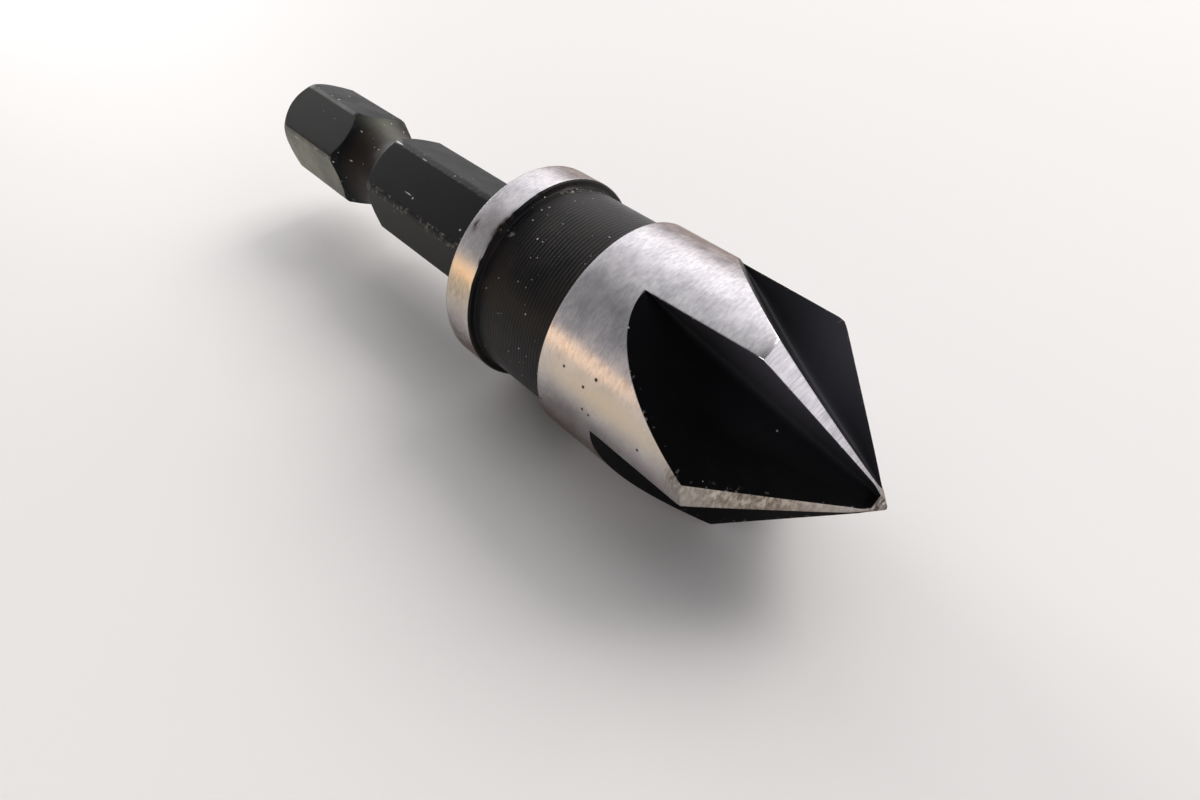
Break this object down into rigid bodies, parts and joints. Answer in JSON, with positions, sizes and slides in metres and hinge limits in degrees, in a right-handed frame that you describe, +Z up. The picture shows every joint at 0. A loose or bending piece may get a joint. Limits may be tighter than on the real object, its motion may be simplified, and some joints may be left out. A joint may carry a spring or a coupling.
{
  "type": "countersink bit",
  "caption": "One-piece fluted countersink bit with a cone point, a ground head, a turned neck, a collar and a grooved hexagonal quick-change shank.",
  "frame": {"origin": "below the middle of the bit, on the surface that it lies on: centre of the bounding box's underside", "axes": "+X along the bit's axis toward the point, +Z up from the surface that it lies on, +Y to its left"},
  "size_m": [0.0496, 0.0126, 0.0127],
  "materials": {
    "tool_steel": "black oxide on the shank, neck and flutes, ground bright on the collar, head and cone lands"
  },
  "bodies": {
    "root": {"countersink_bit": "tool_steel"}
  },
  "joints": []
}
